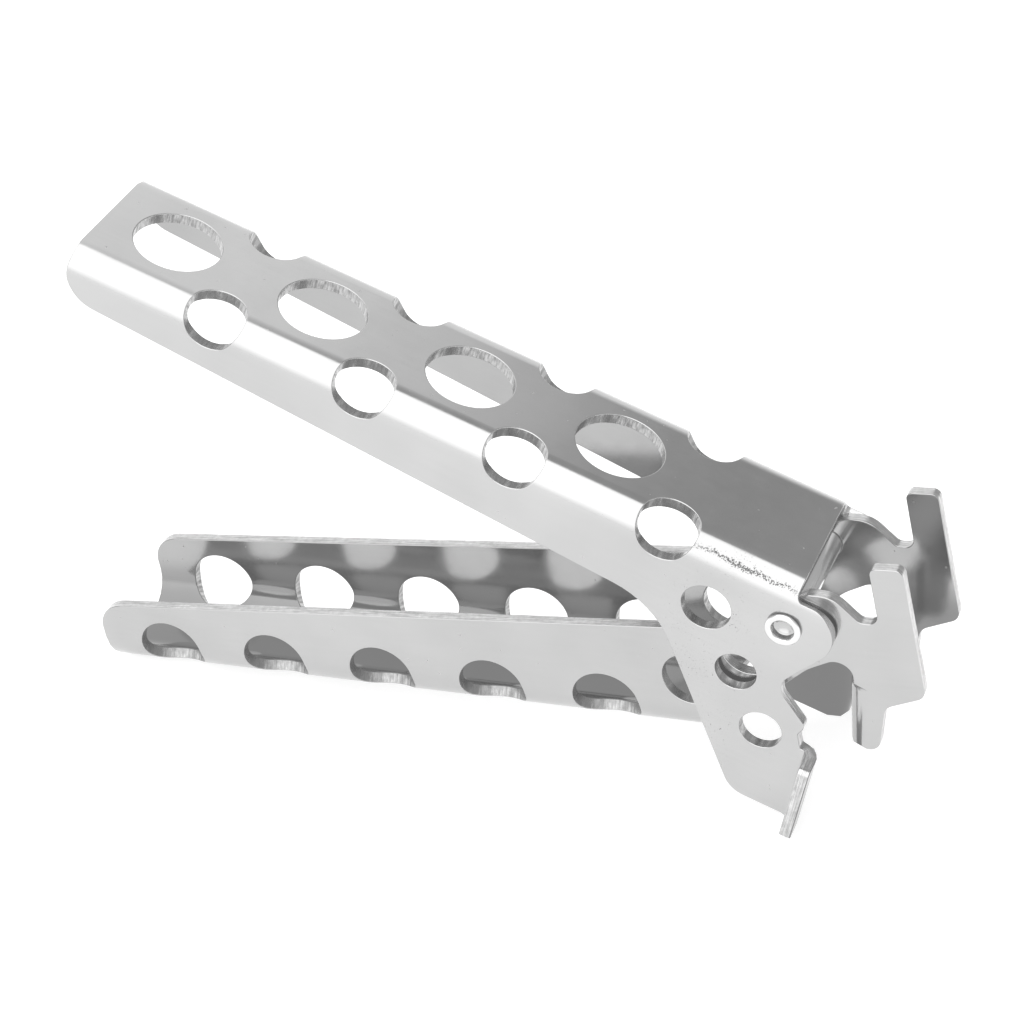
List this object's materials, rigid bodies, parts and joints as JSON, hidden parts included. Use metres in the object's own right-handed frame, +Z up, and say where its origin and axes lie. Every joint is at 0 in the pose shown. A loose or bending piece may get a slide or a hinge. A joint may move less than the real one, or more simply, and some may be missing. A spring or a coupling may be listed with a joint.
{
  "type": "pot gripper",
  "caption": "Folding pot gripper: two perforated sheet-steel handles hinged on one rivet, with outward feet and hook plates as jaws.",
  "frame": {"origin": "on the surface the open tongs stand on, at the centre of the bounding box", "axes": "+X along the handles towards the jaws, +Y along the rivet, +Z up"},
  "size_m": [0.1524, 0.0388, 0.0908],
  "materials": {
    "upper_steel": "tumbled stainless sheet, satin outside, brighter on the bends, darker sheared edges",
    "lower_steel": "tumbled stainless sheet, satin outside, near mirror inside the channel",
    "rivet_steel": "bright stainless pin with smooth rolled rims"
  },
  "bodies": {
    "lower": {"lower_handle": "lower_steel", "pivot_rivet": "rivet_steel"},
    "upper": {"upper_handle": "upper_steel"}
  },
  "joints": [
    {"name": "rivet_hinge", "type": "hinge", "parent": "lower", "child": "upper", "pos_m": [0.05395, 0, 0.04041], "axis": [0, 1, 0], "range_deg": [-31, 2]}
  ]
}
